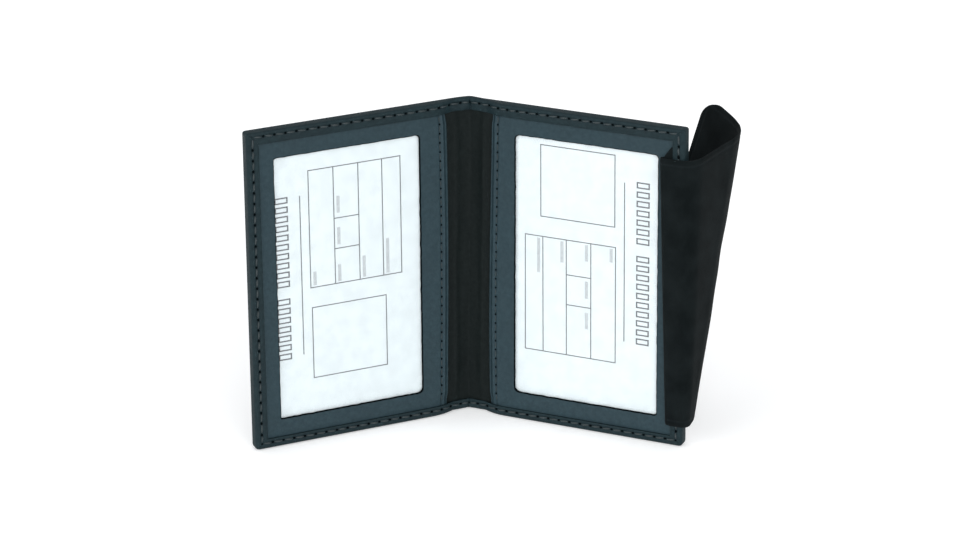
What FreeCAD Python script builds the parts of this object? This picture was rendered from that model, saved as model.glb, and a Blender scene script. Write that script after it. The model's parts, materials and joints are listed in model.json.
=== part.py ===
import FreeCAD
import Part
import math
import os
import Sketcher
from FreeCAD import Placement, Rotation, Vector

# A folding leather credential case that stands open on its lower edges.
# X runs to the right, Y to the back and Z up, with the origin at the foot of the spine.
# A panel is drawn flat, as if the case lay open: "out" is the distance from the spine,
# which is negative x on the left panel, and "depth" is measured from the middle of the
# outer leather towards the inside of the case, along -Y.  The body's Placement then
# turns it to the angle at which the case rests.

DRIVING_SIZES = {
    # whole case
    "panel_width": 76.2,
    "case_height": 108.0,
    "rest_fold": 24.0,
    "fold_line": 7.0,
    "fold_gap": 0.6,
    "corner_round": 2.0,
    # layers of one panel, from the outer leather inwards
    "leather_thick": 1.0,
    "board_thick": 0.5,
    "lining_thick": 0.3,
    "pocket_room": 0.7,
    "pane_thick": 0.2,
    "frame_thick": 0.7,
    "hem_thick": 0.7,
    # turned hem along the top, outer and bottom edges
    "hem_width": 4.2,
    "edge_wall": 1.0,
    "layer_play": 0.05,
    # window frame
    "frame_start": 8.8,
    "frame_rim": 2.9,
    "window_start": 17.6,
    "window_wide": 49.4,
    "window_foot": 9.2,
    "window_tall": 89.0,
    "window_round": 1.7,
    "pane_lap": 4.0,
    # identity card
    "card_wide": 57.0,
    "card_tall": 95.0,
    "card_thick": 0.5,
    "card_round": 3.0,
    "card_play": 0.1,
    # spine strip
    "spine_edge_round": 4.0,
    "spine_layer_end": 6.0,
    "spine_lining_thick": 0.5,
    # loose leaf on the right panel
    "leaf_axis_out": 69.0,
    "leaf_axis_depth": 4.1,
    "leaf_thick": 0.8,
    "leaf_foot": 5.6,
    "leaf_head": 97.5,
    "leaf_rise": 3.0,
    "leaf_length": 60.8,
    "leaf_corner": 8.0,
    "leaf_play": 0.1,
    "edge_bend_foot": 8.6,
    "edge_bend_head": 10.2,
    "edge_bend_turn": 72.0,
    "curl_bend_foot": 12.6,
    "curl_bend_head": 33.4,
    "curl_bend_turn": 37.5,
    "back_bend_foot": 19.2,
    "back_bend_head": 40.0,
    "back_bend_turn": 37.5,
    # root of the leaf, thinned where the hem holds it
    "root_start": 69.35,
    "root_head": 102.2,
    "tongue_end": 74.6,
    "tongue_thick": 0.4,
    # sewing thread
    "thread_wide": 0.5,
    "thread_proud": 0.2,
    "hem_stitch_inset": 2.1,
    "hem_stitch_pitch": 3.6,
    "hem_stitch_run": 2.6,
    "pocket_stitch_inset": 2.0,
    "pocket_stitch_pitch": 3.1,
    "pocket_stitch_run": 2.2,
    "spine_stitch_start": 2.2,
    "spine_stitch_pitch": 2.5,
}

LAYERS = ("board_thick", "lining_thick", "pocket_room", "pane_thick", "frame_thick", "hem_thick")

# Places that several sub-parts share, written for the sheet.
BOARD_LOW = "Sizes.leather_thick / 2"
LINING_LOW = BOARD_LOW + " + Sizes.board_thick"
POCKET_LOW = LINING_LOW + " + Sizes.lining_thick"
PANE_LOW = POCKET_LOW + " + Sizes.pocket_room"
FRAME_LOW = PANE_LOW + " + Sizes.pane_thick"
HEM_LOW = FRAME_LOW + " + Sizes.frame_thick"
SHELL_START = "Sizes.fold_line + Sizes.fold_gap"
LAYER_START = "Sizes.fold_line + Sizes.fold_gap + Sizes.layer_play"
LAYER_END = "Sizes.panel_width - Sizes.edge_wall - Sizes.layer_play"
LAYER_FOOT = "Sizes.edge_wall + Sizes.layer_play"
LAYER_HEAD = "Sizes.case_height - Sizes.edge_wall - Sizes.layer_play"
POCKET_END = LAYER_END + " - Sizes.frame_rim"
HEM_INNER = "Sizes.panel_width - Sizes.hem_width"

SIDES = {"left": -1, "right": 1}

doc = FreeCAD.newDocument("credential_case")
sheet = doc.addObject("Spreadsheet::Sheet", "Sizes")
sub_parts = []


def fill_sheet():
    """Put the driving dimensions in the sheet, one alias to a row."""
    for row, (alias, value) in enumerate(DRIVING_SIZES.items(), start=1):
        sheet.set("A%d" % row, alias)
        sheet.set("B%d" % row, str(value))
        sheet.setAlias("B%d" % row, alias)
    doc.recompute()


def size(alias):
    return float(sheet.get(alias))


def hem_front():
    """Depth of the hem's front face."""
    return size("leather_thick") / 2 + sum(size(layer) for layer in LAYERS)


def panel_placement(side):
    """The turn that takes a flat panel to the angle at which the case rests."""
    turn = -SIDES[side] * size("rest_fold")
    return Placement(Vector(0, 0, 0), Rotation(Vector(0, 0, 1), turn))


# ---------------------------------------------------------------- building blocks


def new_body(name):
    body = doc.addObject("PartDesign::Body", name)
    body.Label = name
    sub_parts.append(body)
    return body


def panel_body(name, side):
    """A body whose Placement follows the rest angle of its panel."""
    body = new_body(name)
    body.setExpression("Placement.Rotation.Angle", "%d * Sizes.rest_fold" % -SIDES[side])
    return body


def origin_plane(body, role):
    for feature in body.Origin.OriginFeatures:
        if feature.Role == role:
            return feature
    raise ValueError("no plane " + role)


def outline(body, name, role, corners, height):
    """Closed outline with straight sides, its corners and its height bound to the sheet."""
    sketch = body.newObject("Sketcher::SketchObject", name + "_outline")
    sketch.AttachmentSupport = [(origin_plane(body, role), "")]
    sketch.MapMode = "FlatFace"
    sketch.setExpression("AttachmentOffset.Base.z", height)
    count = len(corners)
    step = 2 * math.pi / count
    start = [Vector(math.cos(step * i), math.sin(step * i), 0) * 10 for i in range(count)]
    for i in range(count):
        sketch.addGeometry(Part.LineSegment(start[i], start[(i + 1) % count]), False)
    for i in range(count):
        sketch.addConstraint(Sketcher.Constraint("Coincident", i, 2, (i + 1) % count, 1))
    for i, (across, up) in enumerate(corners):
        column = sketch.addConstraint(Sketcher.Constraint("DistanceX", -1, 1, i, 1, start[i].x))
        sketch.setExpression("Constraints[%d]" % column, across)
        row = sketch.addConstraint(Sketcher.Constraint("DistanceY", -1, 1, i, 1, start[i].y))
        sketch.setExpression("Constraints[%d]" % row, up)
    return sketch


def pad(body, name, role, corners, height, length):
    feature = body.newObject("PartDesign::Pad", name)
    feature.Profile = outline(body, name, role, corners, height)
    feature.setExpression("Length", length)
    doc.recompute()
    return feature


def cut(body, name, role, corners, height, length):
    """Pocket from the outline back towards the outer leather; it has to remove something."""
    before = body.Shape.Volume
    feature = body.newObject("PartDesign::Pocket", name)
    feature.Profile = outline(body, name, role, corners, height)
    feature.setExpression("Length", length)
    doc.recompute()
    if body.Shape.Volume > before - 0.01:
        raise RuntimeError(name + " removed nothing")
    return feature


def round_edges(body, name, radius, chosen):
    """Fillet the edges of the body's tip for which chosen(edge) is true."""
    tip = body.Tip
    names = ["Edge%d" % (i + 1) for i, edge in enumerate(tip.Shape.Edges) if chosen(edge)]
    if not names:
        raise RuntimeError(name + " found no edge")
    feature = body.newObject("PartDesign::Fillet", name)
    feature.Base = (tip, names)
    feature.setExpression("Radius", radius)
    doc.recompute()
    return feature


def through_corner(out, up):
    """Edges that run through a plate's thickness at |x| = out and z = up."""
    def chosen(edge):
        ends = [vertex.Point for vertex in edge.Vertexes]
        return len(ends) == 2 and all(
            abs(abs(point.x) - out) < 0.01 and abs(point.z - up) < 0.01 for point in ends
        )
    return chosen


def any_of(*tests):
    return lambda edge: any(test(edge) for test in tests)


def on_side(side, corners):
    """Mirror outline corners, given as distances from the spine, onto one panel."""
    return [("%d * (%s)" % (SIDES[side], out), up) for out, up in corners]


def rectangle(side, start, end, foot, head):
    return on_side(side, [(start, foot), (end, foot), (end, head), (start, head)])


def three_sided(side, start, end, foot, head, wide):
    """A border along the bottom, outer and top edges, open towards the spine."""
    inner_end = "%s - %s" % (end, wide)
    inner_foot = "%s + %s" % (foot, wide)
    inner_head = "%s - %s" % (head, wide)
    return on_side(side, [
        (start, foot), (end, foot), (end, head), (start, head),
        (start, inner_head), (inner_end, inner_head), (inner_end, inner_foot), (start, inner_foot),
    ])


def panel_plate(body, name, corners, low, thick):
    return pad(body, name, "XZ_Plane", corners, low, thick)


# ---------------------------------------------------------------- one panel


def make_shell(side):
    """Outer leather: a flat back, its edge wall and the hem turned onto the front."""
    body = panel_body("shell_" + side, side)
    end, head = "Sizes.panel_width", "Sizes.case_height"
    back = rectangle(side, SHELL_START, end, "0", head)
    panel_plate(body, body.Name + "_back", back, "-Sizes.leather_thick / 2", "Sizes.leather_thick")
    wall = three_sided(side, SHELL_START, end, "0", head, "Sizes.edge_wall")
    panel_plate(body, body.Name + "_wall", wall, BOARD_LOW, HEM_LOW + " - " + BOARD_LOW)
    hem = three_sided(side, SHELL_START, end, "0", head, "Sizes.hem_width")
    panel_plate(body, body.Name + "_hem", hem, HEM_LOW, "Sizes.hem_thick")
    if side == "right":
        slot = rectangle(side, HEM_INNER + " - 1", "Sizes.tongue_end", "Sizes.leaf_foot", "Sizes.root_head")
        cut(body, body.Name + "_tongue_slot", "XZ_Plane", slot,
            HEM_LOW + " + Sizes.tongue_thick", "Sizes.tongue_thick")
    width, height = size("panel_width"), size("case_height")
    corners = any_of(through_corner(width, 0), through_corner(width, height))
    round_edges(body, body.Name + "_corners", "Sizes.corner_round", corners)


def make_board(side):
    """Stiffening board glued to the back of the outer leather."""
    body = panel_body("stiffener_" + side, side)
    corners = rectangle(side, LAYER_START, LAYER_END, LAYER_FOOT, LAYER_HEAD)
    panel_plate(body, body.Name + "_plate", corners, BOARD_LOW, "Sizes.board_thick")


def make_pocket_back(side):
    """Lining that forms the back of the card pocket."""
    body = panel_body("pocket_back_" + side, side)
    corners = rectangle(side, LAYER_START, LAYER_END, LAYER_FOOT, LAYER_HEAD)
    panel_plate(body, body.Name + "_plate", corners, LINING_LOW, "Sizes.lining_thick")


def make_frame(side):
    """Window frame: a leather plate with a rim sewn down on three sides."""
    body = panel_body("window_frame_" + side, side)
    face = rectangle(side, "Sizes.frame_start", LAYER_END, LAYER_FOOT, LAYER_HEAD)
    panel_plate(body, body.Name + "_face", face, FRAME_LOW, "Sizes.frame_thick")
    window = rectangle(side, "Sizes.window_start", "Sizes.window_start + Sizes.window_wide",
                       "Sizes.window_foot", "Sizes.window_foot + Sizes.window_tall")
    cut(body, body.Name + "_window", "XZ_Plane", window, HEM_LOW, "Sizes.frame_thick")
    near, far = size("window_start"), size("window_start") + size("window_wide")
    low, high = size("window_foot"), size("window_foot") + size("window_tall")
    corners = any_of(*[through_corner(out, up) for out in (near, far) for up in (low, high)])
    round_edges(body, body.Name + "_window_corners", "Sizes.window_round", corners)
    rim = three_sided(side, "Sizes.frame_start", LAYER_END, LAYER_FOOT, LAYER_HEAD, "Sizes.frame_rim")
    panel_plate(body, body.Name + "_rim", rim, POCKET_LOW, "Sizes.pocket_room + Sizes.pane_thick")


def make_pane(side):
    """Clear pane behind the window, lapped by the frame all round."""
    body = panel_body("window_pane_" + side, side)
    top = "Sizes.window_foot + Sizes.window_tall + Sizes.pane_lap"
    corners = rectangle(side, "Sizes.window_start - Sizes.pane_lap",
                        "Sizes.window_start + Sizes.window_wide + Sizes.pane_lap",
                        "Sizes.window_foot - Sizes.pane_lap", top)
    panel_plate(body, body.Name + "_sheet", corners, PANE_LOW, "Sizes.pane_thick")


def make_card(side):
    """Identity card, free to slide in the pocket."""
    body = panel_body("identity_card_" + side, side)
    foot = "(Sizes.case_height - Sizes.card_tall) / 2"
    end = POCKET_END + " - Sizes.card_play"
    corners = rectangle(side, end + " - Sizes.card_wide", end, foot, foot + " + Sizes.card_tall")
    panel_plate(body, body.Name + "_blank", corners, POCKET_LOW + " + Sizes.card_play", "Sizes.card_thick")
    outer = size("panel_width") - size("edge_wall") - size("layer_play")
    outer -= size("frame_rim") + size("card_play")
    low = (size("case_height") - size("card_tall")) / 2
    places = [(out, up) for out in (outer - size("card_wide"), outer) for up in (low, low + size("card_tall"))]
    corners = any_of(*[through_corner(out, up) for out, up in places])
    round_edges(body, body.Name + "_corners", "Sizes.card_round", corners)


# ---------------------------------------------------------------- spine


def slanted(out, depth, mirror):
    """Corner on the spine's right half, or its left half when mirror is -1."""
    across = "%d * ((%s) * cos(Sizes.rest_fold) - (%s) * sin(Sizes.rest_fold))" % (mirror, out, depth)
    back = "-(%s) * sin(Sizes.rest_fold) - (%s) * cos(Sizes.rest_fold)" % (out, depth)
    return across, back


def bent_strip(body, name, end, low, high, foot, tall):
    """A strip bent along the middle of the spine, between two depths."""
    corners = [
        slanted(end, low, 1), ("0", "-(%s) / cos(Sizes.rest_fold)" % low), slanted(end, low, -1),
        slanted(end, high, -1), ("0", "-(%s) / cos(Sizes.rest_fold)" % high), slanted(end, high, 1),
    ]
    return pad(body, name, "XY_Plane", corners, foot, tall)


def make_spine_shell():
    """Outer leather between the two folds, with its hem at the top and the bottom."""
    body = new_body("shell_spine")
    end = "Sizes.fold_line - Sizes.fold_gap"
    bent_strip(body, "spine_back", end, "-Sizes.leather_thick / 2", BOARD_LOW, "0", "Sizes.case_height")
    crest = size("leather_thick") / 2 / math.cos(math.radians(size("rest_fold")))

    def outer_crest(edge):
        return all(abs(v.Point.x) < 0.01 and abs(v.Point.y - crest) < 0.01 for v in edge.Vertexes)

    round_edges(body, "spine_crest", "Sizes.spine_edge_round", outer_crest)
    low = BOARD_LOW + " + Sizes.spine_lining_thick"
    high = low + " + Sizes.hem_thick"
    head = "Sizes.case_height"
    for name, foot in (("foot", "0"), ("head", head + " - Sizes.hem_width")):
        bent_strip(body, "spine_hem_" + name, "Sizes.spine_layer_end", low, high, foot, "Sizes.hem_width")
    for name, foot in (("foot", "0"), ("head", head + " - Sizes.edge_wall")):
        bent_strip(body, "spine_wall_" + name, "Sizes.spine_layer_end", BOARD_LOW, low, foot, "Sizes.edge_wall")


def make_spine_lining():
    body = new_body("spine_lining")
    bent_strip(body, "spine_lining_strip", "Sizes.spine_layer_end", BOARD_LOW,
               BOARD_LOW + " + Sizes.spine_lining_thick", LAYER_FOOT, LAYER_HEAD + " - (" + LAYER_FOOT + ")")


# ---------------------------------------------------------------- leaf


def leaf_top(out):
    """Height of the leaf's top edge, which rises slightly beyond the first bend."""
    return ("Sizes.leaf_head + Sizes.leaf_rise * (%s - Sizes.edge_bend_head)"
            " / (Sizes.leaf_length - Sizes.edge_bend_head)" % out)


def leaf_top_height(out):
    run = (out - size("edge_bend_head")) / (size("leaf_length") - size("edge_bend_head"))
    return size("leaf_head") + size("leaf_rise") * run


def fold_line_ends(bend):
    """Foot and head of one fold line on the flat leaf, on the face nearer the panel."""
    depth = size("leaf_axis_depth")
    foot_out = size(bend + "_foot")
    head_out = size(bend + "_head")
    foot = Vector(size("leaf_axis_out") + foot_out, -depth, size("leaf_foot"))
    head = Vector(size("leaf_axis_out") + head_out, -depth, leaf_top_height(head_out))
    return foot, head


def fold_turn(bend):
    """The turn about one fold line that takes what lies beyond it behind the panel."""
    foot, head = fold_line_ends(bend)
    return Placement(Vector(0, 0, 0), Rotation(head - foot, size(bend + "_turn")), foot)


def leaf_segment(name, corners, bends):
    """One flat segment of the leaf, folded about the lines between it and the root."""
    body = new_body(name)
    places = [("Sizes.leaf_axis_out + %s" % out, up) for out, up in corners]
    panel_plate(body, name + "_plate", places, "Sizes.leaf_axis_depth", "Sizes.leaf_thick")
    placement = panel_placement("right")
    for bend in bends:
        placement = placement * fold_turn(bend)
    body.Placement = placement
    return body


def make_leaf():
    foot, play = "Sizes.leaf_foot", " Sizes.leaf_play"
    edge, curl, back = "Sizes.edge_bend", "Sizes.curl_bend", "Sizes.back_bend"
    length = "Sizes.leaf_length"
    leaf_segment("leaf_base", [
        ("0", foot), (edge + "_foot -" + play, foot),
        (edge + "_head -" + play, "Sizes.leaf_head"), ("0", "Sizes.leaf_head"),
    ], [])
    leaf_segment("leaf_wall", [
        (edge + "_foot +" + play, foot), (curl + "_foot -" + play, foot),
        (curl + "_head -" + play, leaf_top(curl + "_head")), (edge + "_head +" + play, "Sizes.leaf_head"),
    ], ["edge_bend"])
    leaf_segment("leaf_curl", [
        (curl + "_foot +" + play, foot), (back + "_foot -" + play, foot),
        (back + "_head -" + play, leaf_top(back + "_head")), (curl + "_head +" + play, leaf_top(curl + "_head")),
    ], ["edge_bend", "curl_bend"])
    end = leaf_segment("leaf_back", [
        (back + "_foot +" + play, foot), (length, foot),
        (length, leaf_top(length)), (back + "_head +" + play, leaf_top(back + "_head")),
    ], ["edge_bend", "curl_bend", "back_bend"])
    out = size("leaf_axis_out") + size("leaf_length")
    head = leaf_top_height(size("leaf_length"))
    corners = any_of(through_corner(out, size("leaf_foot")), through_corner(out, head))
    round_edges(end, "leaf_back_corners", "Sizes.leaf_corner", corners)


def make_leaf_root():
    """The leaf's sewn edge: a strip on the frame and a thin tongue under the hem."""
    body = panel_body("leaf_root", "right")
    strip = [
        ("Sizes.root_start", "Sizes.leaf_foot"), (HEM_INNER, "Sizes.leaf_foot"),
        (HEM_INNER, "Sizes.root_head"), ("Sizes.root_start", "Sizes.leaf_head"),
    ]
    panel_plate(body, "leaf_root_strip", strip, HEM_LOW, "Sizes.hem_thick")
    tongue = rectangle("right", HEM_INNER, "Sizes.tongue_end", "Sizes.leaf_foot", "Sizes.root_head")
    panel_plate(body, "leaf_root_tongue", tongue, HEM_LOW, "Sizes.tongue_thick")


# ---------------------------------------------------------------- sewing


def stitch(out, up, run, along, front, placement):
    """One visible stitch on a face at depth front, running across or up the panel."""
    wide, proud = size("thread_wide"), size("thread_proud")
    across, tall = (run, wide) if along == "across" else (wide, run)
    corner = Vector(out - across / 2, -front - proud, up - tall / 2)
    solid = Part.makeBox(across, proud, tall, corner)
    solid.Placement = placement * solid.Placement
    return solid


def stitch_row(start, end, pitch):
    """Evenly spaced middles of stitches between two ends, at about the given pitch."""
    count = round((end - start) / pitch)
    step = (end - start) / count
    return [start + step * (i + 0.5) for i in range(count)]


def add_thread(name, stitches):
    thread = doc.addObject("Part::Feature", name)
    thread.Label = name
    thread.Shape = Part.makeCompound(stitches)
    thread.Placement = Placement()
    sub_parts.append(thread)


def make_hem_thread(side):
    """The seam that runs round three sides through the hem."""
    inset, pitch, run = size("hem_stitch_inset"), size("hem_stitch_pitch"), size("hem_stitch_run")
    front, placement, sign = hem_front(), panel_placement(side), SIDES[side]
    start = size("fold_line") + size("fold_gap")
    end = size("panel_width") - inset
    foot, head = inset, size("case_height") - inset
    stitches = []
    for out in stitch_row(start, end, pitch):
        for up in (foot, head):
            stitches.append(stitch(sign * out, up, run, "across", front, placement))
    for up in stitch_row(foot, head, pitch):
        stitches.append(stitch(sign * end, up, run, "up", front, placement))
    add_thread("hem_thread_" + side, stitches)


def make_pocket_thread(side):
    """The seam along the pocket's mouth, near the spine."""
    front = hem_front() - size("hem_thick")
    out = SIDES[side] * (size("frame_start") + size("pocket_stitch_inset"))
    low, high = size("hem_width"), size("case_height") - size("hem_width")
    run, placement = size("pocket_stitch_run"), panel_placement(side)
    rows = stitch_row(low, high, size("pocket_stitch_pitch"))
    add_thread("pocket_thread_" + side, [stitch(out, up, run, "up", front, placement) for up in rows])


def make_spine_thread():
    front = size("leather_thick") / 2 + size("spine_lining_thick") + size("hem_thick")
    heights = (size("hem_stitch_inset"), size("case_height") - size("hem_stitch_inset"))
    run = size("pocket_stitch_run")
    stitches = []
    for side, sign in SIDES.items():
        for count in range(2):
            out = size("spine_stitch_start") + count * size("spine_stitch_pitch")
            for up in heights:
                stitches.append(stitch(sign * out, up, run, "across", front, panel_placement(side)))
    add_thread("spine_thread", stitches)


# ---------------------------------------------------------------- whole case


def check_and_export():
    doc.recompute()
    for item in doc.Objects:
        if any(word in item.State for word in ("Invalid", "Error")):
            raise RuntimeError("%s failed: %s" % (item.Label, item.State))
    os.makedirs("parts", exist_ok=True)
    for item in sub_parts:
        if item.Shape.isNull() or not item.Shape.isValid():
            raise RuntimeError(item.Label + " has no valid shape")
        item.Shape.exportStep("parts/%s.step" % item.Label)
        print("%-22s %3d solids %9.1f mm3" % (item.Label, len(item.Shape.Solids), item.Shape.Volume))


fill_sheet()
make_spine_shell()
make_spine_lining()
make_spine_thread()
for panel in SIDES:
    make_shell(panel)
    make_board(panel)
    make_pocket_back(panel)
    make_frame(panel)
    make_pane(panel)
    make_card(panel)
    make_hem_thread(panel)
    make_pocket_thread(panel)
make_leaf_root()
make_leaf()
check_and_export()
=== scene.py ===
import json
import math

import bmesh
import bpy
import numpy as np
from mathutils import Matrix, Vector, noise


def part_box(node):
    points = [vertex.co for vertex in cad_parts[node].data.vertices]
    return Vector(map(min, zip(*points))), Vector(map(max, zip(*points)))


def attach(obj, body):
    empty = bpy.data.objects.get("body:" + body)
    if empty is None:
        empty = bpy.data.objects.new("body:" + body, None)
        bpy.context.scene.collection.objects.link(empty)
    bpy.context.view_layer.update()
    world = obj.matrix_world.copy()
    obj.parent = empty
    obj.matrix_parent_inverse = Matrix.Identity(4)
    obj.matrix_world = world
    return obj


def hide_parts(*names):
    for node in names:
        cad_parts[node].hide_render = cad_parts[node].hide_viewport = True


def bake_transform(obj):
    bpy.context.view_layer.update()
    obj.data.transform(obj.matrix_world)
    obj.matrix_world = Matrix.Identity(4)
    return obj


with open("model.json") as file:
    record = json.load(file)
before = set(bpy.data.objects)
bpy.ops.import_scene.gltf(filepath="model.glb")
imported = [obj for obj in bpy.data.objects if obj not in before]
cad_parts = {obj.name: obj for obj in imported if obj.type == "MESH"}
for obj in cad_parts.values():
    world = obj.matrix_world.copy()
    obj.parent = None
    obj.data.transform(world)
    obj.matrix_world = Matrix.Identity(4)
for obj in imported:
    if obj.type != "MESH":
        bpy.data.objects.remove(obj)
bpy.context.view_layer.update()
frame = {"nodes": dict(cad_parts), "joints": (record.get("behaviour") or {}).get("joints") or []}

# ---------------------------------------------------------------- frame and sizes
# Lengths are in millimetres until place() turns them into metres in the row frame.
# A panel is described flat: u is the distance out from the spine, z the height and
# n the depth from the middle of the outer leather towards the inside of the case.

MM = 0.001
SIDES = {"left": -1.0, "right": 1.0}
JOINTS = {joint["name"]: joint for joint in frame["joints"]}

OUTWARD = -Vector(JOINTS["right_card_slide"]["axis"])
REST = math.atan2(-OUTWARD.y, OUTWARD.x)
COS, SIN = math.cos(REST), math.sin(REST)

LEATHER = 1.0
HALF = LEATHER / 2
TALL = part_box("shell_right")[1].z / MM
WIDE = (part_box("shell_right")[1].x / MM - HALF * SIN) / COS


def panel_point(point):
    """(u, z, n) of a point given in metres on the right panel."""
    x, y, z = (c / MM for c in point)
    return x * COS - y * SIN, z, -x * SIN - y * COS


FOLD_U = panel_point(JOINTS["right_fold"]["pos_m"])[0]
SWING_U, _, SWING_N = panel_point(JOINTS["leaf_swing"]["pos_m"])

# layers: widths and thicknesses, and as ..._FRONT the height n of a face
HEM, HEM_THICK = 4.2, 0.7
HEM_FRONT, SPINE_HEM_FRONT = 3.6, 1.7
HEM_RISE_START, HEM_RISE = 6.5, 7.5
FRAME_FRONT, FRAME_THICK = HEM_FRONT - HEM_THICK, 0.7
LINING_FRONT, SPINE_LINING_FRONT = 1.3, 1.0
EDGE_WALL = 1.0

# rounding and softness: lengths, and how far the soft spine leans and is gathered
SHARP_EDGE = math.radians(50.0)
CORNER_ROUND = 1.2
CREST_RADIUS = 2.0
CREST_START = CREST_RADIUS * (math.tan(REST) - REST)
FOLD_ZONE = 1.2
SPINE_LEAN, LEAN_AT, LEAN_REACH = 1.5, 4.0, 12.0
GATHER_AT, GATHER_REACH, GATHER_DEPTH, GATHER_PITCH = 1.5, 7.0, 0.75, 0.9
FOOT_HEM_LESS = 0.9
HEAD_SEAM_RISE = 0.55
PRESSED_LINE = 1.9

# sewing
STITCH_INSET = 2.1
STITCHES_ACROSS, STITCHES_UP = 20, 29
SAMPLES_PER_STITCH = 4
POCKET_STITCH_INSET = 2.25
POCKET_STITCHES = 32
# the gap at a stitch's ends, its skew, and half the length of each near-black needle-hole capsule, which is
# painted shade for the hole
STITCH_GAP, STITCH_SKEW, HOLE_SHADE_REACH = 0.5, 0.12, 0.32
HEM_STITCH, POCKET_STITCH = (0.33, 0.34), (0.21, 0.25)
# radius and sink of the near-black capsules in the needle holes: painted shade inside the holes
HEM_HOLE_SHADE, POCKET_HOLE_SHADE = (0.34, 0.12), (0.34, 0.10)
POCKET_SEAM_DEPTH = 0.24


def smooth(x):
    x = np.clip(x, 0.0, 1.0)
    return x * x * (3 - 2 * x)


def ripple(u, z, scale, seed):
    """Smooth noise over the flat panel, from about -1 to 1."""
    flat = [noise.noise(Vector((a / scale, b / scale, seed))) for a, b in zip(np.ravel(u), np.ravel(z))]
    return np.array(flat).reshape(np.shape(u))


# ---------------------------------------------------------------- placing and meshing


def round_crest(u, n):
    """Bend what lies near the spine's middle round an arc, so the two halves meet smoothly."""
    tangent = CREST_RADIUS * math.tan(REST)
    theta = np.clip(REST - (u - CREST_START) / CREST_RADIUS, 0.0, REST)
    inner = CREST_RADIUS - n
    bent = theta > 0
    new_u = np.where(bent, tangent - inner * np.sin(theta), u)
    new_n = np.where(bent, CREST_RADIUS - inner * np.cos(theta), n)
    return new_u, new_n


def spine_lean(x, z):
    """The soft spine leans a little to the right towards its head."""
    return SPINE_LEAN * smooth(z / TALL) * np.exp(-(((x - LEAN_AT) / LEAN_REACH) ** 2))


def place(side, u, z, n):
    """Row-frame points in metres of flat panel points, as one array of rows."""
    sign = SIDES[side]
    u, z, n = (np.ravel(np.asarray(c, float)) for c in np.broadcast_arrays(u, z, n))
    x = sign * (u * COS - n * SIN)
    y = -u * SIN - n * COS
    lean = spine_lean(x, z)
    slide = lean * math.tan(REST) * np.clip(x / LEAN_AT, -1, 1)
    return np.stack([x + lean, y - slide, z], -1) * MM


def grid_faces(rows, columns, offset=0, closed=False):
    """Quads over a row-major grid of points; closed joins the last column to the first."""
    faces = []
    for row in range(rows - 1):
        for column in range(columns if closed else columns - 1):
            following = (column + 1) % columns
            a = offset + row * columns + column
            b = offset + row * columns + following
            faces.append((a, b, b + columns, a + columns))
    return faces


def closed_sheet_faces(rows, columns):
    """Faces of a closed sheet whose points are one grid for the top, then one for the underside."""
    size = rows * columns
    rim = [r * columns for r in range(rows)] + [(rows - 1) * columns + c for c in range(1, columns)]
    rim += [r * columns + columns - 1 for r in range(rows - 2, -1, -1)] + list(range(columns - 2, 0, -1))
    sides = [(a, b, b + size, a + size) for a, b in zip(rim, rim[1:] + rim[:1])]
    return grid_faces(rows, columns) + grid_faces(rows, columns, offset=size) + sides


def make_piece(name, points, faces, materials, groups=None, weld=0.002, uv=None):
    """A mesh object from points in metres, welded, with outward normals and smooth shading."""
    mesh = bpy.data.meshes.new(name)
    mesh.from_pydata([tuple(p) for p in points], [], faces)
    if groups is not None:
        mesh.polygons.foreach_set("material_index", np.asarray(groups, np.int32))
    if uv is not None:
        layer = mesh.uv_layers.new(name="flat")
        corners = np.zeros(len(mesh.loops), np.int32)
        mesh.loops.foreach_get("vertex_index", corners)
        layer.data.foreach_set("uv", np.asarray(uv, np.float32)[corners].ravel())
    work = bmesh.new()
    work.from_mesh(mesh)
    bmesh.ops.remove_doubles(work, verts=work.verts, dist=weld * MM)
    bmesh.ops.dissolve_degenerate(work, edges=work.edges, dist=1e-8)
    bmesh.ops.recalc_face_normals(work, faces=work.faces)
    for edge in work.edges:
        if len(edge.link_faces) == 2:
            edge.smooth = edge.calc_face_angle(0.0) < SHARP_EDGE
    for face in work.faces:
        face.smooth = True
    work.to_mesh(mesh)
    work.free()
    for material in materials:
        mesh.materials.append(material)
    piece = bpy.data.objects.new(name, mesh)
    bpy.context.scene.collection.objects.link(piece)
    return piece


def fold_with(piece, side):
    """Bake a piece's placement into its mesh; the points either side of the fold are worked out but not
    used.
    """
    start = place(side, FOLD_U - FOLD_ZONE, 0, LINING_FRONT)[0]
    end = place(side, FOLD_U + FOLD_ZONE, 0, LINING_FRONT)[0]
    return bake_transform(piece)


# ---------------------------------------------------------------- materials


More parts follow.
